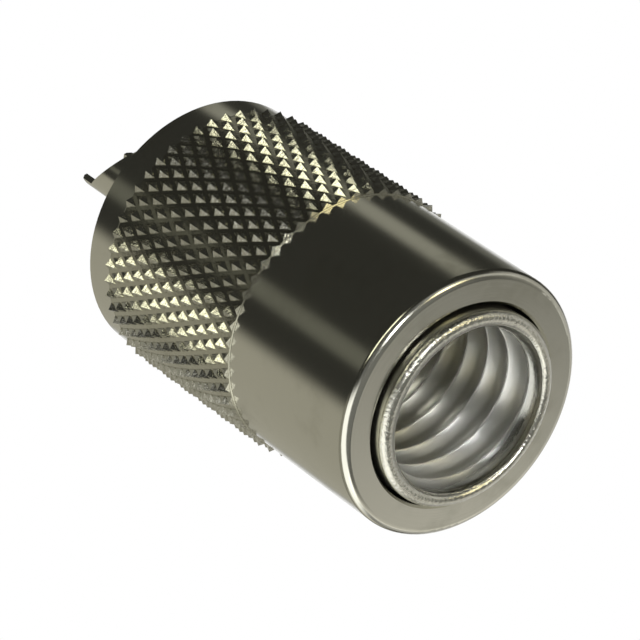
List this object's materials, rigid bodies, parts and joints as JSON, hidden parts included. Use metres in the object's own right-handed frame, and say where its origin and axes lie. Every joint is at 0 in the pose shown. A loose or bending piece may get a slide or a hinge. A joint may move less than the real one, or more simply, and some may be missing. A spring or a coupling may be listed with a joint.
{
  "type": "uhf cable plug",
  "caption": "Coaxial cable plug with a diamond-knurled coupling nut pulled back, a hollow solder-end centre pin and a coarse thread inside its cable end.",
  "frame": {"origin": "centre of the cable-end rim, on the surface that the plug stands on", "axes": "+Z along the axis from the cable end to the centre pin; +X and +Y across it, with -Y towards the camera of the picture"},
  "size_m": [0.018, 0.018, 0.0388],
  "materials": {
    "body_plating": "nickel plated, bright, with turning marks and light wear",
    "nut_plating": "nickel plated, bright, slightly warm",
    "insulator_plastic": "moulded, off-white",
    "pin_plating": "nickel plated, worn at the cut end"
  },
  "bodies": {
    "plug": {"plug_body": "body_plating", "insulator": "insulator_plastic", "centre_contact": "pin_plating"},
    "nut": {"coupling_nut": "nut_plating"}
  },
  "joints": [
    {"name": "nut_slide", "type": "slide", "parent": "plug", "child": "nut", "axis": [0, 0, 1], "range_m": [0, 0.0102]}
  ]
}
